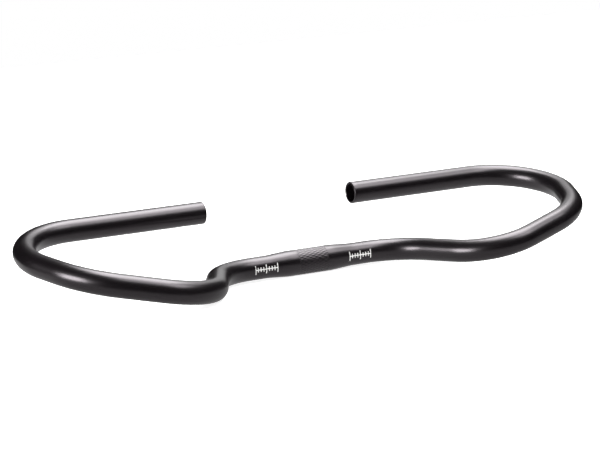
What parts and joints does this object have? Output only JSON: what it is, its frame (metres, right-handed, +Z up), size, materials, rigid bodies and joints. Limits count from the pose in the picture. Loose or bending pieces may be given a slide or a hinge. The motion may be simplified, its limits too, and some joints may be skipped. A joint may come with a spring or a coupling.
{
  "type": "trekking handlebar",
  "caption": "Butterfly trekking handlebar: a bent alloy tube with a swelled clamp seat, hooks to the front, wide side loops and open-ended grips that face each other.",
  "frame": {"origin": "middle of the clamp seat, on the tube's axis", "axes": "+X along the clamp seat across the bicycle, -Y to the front of the bicycle, +Y to the rider, +Z up"},
  "size_m": [0.6022, 0.1794, 0.0755],
  "materials": {
    "black_anodised": "satin black anodised",
    "pale_ink": "pad-printed ink, used by the scale marks of the visual model"
  },
  "bodies": {
    "root": {"handlebar": "black_anodised"}
  },
  "joints": []
}
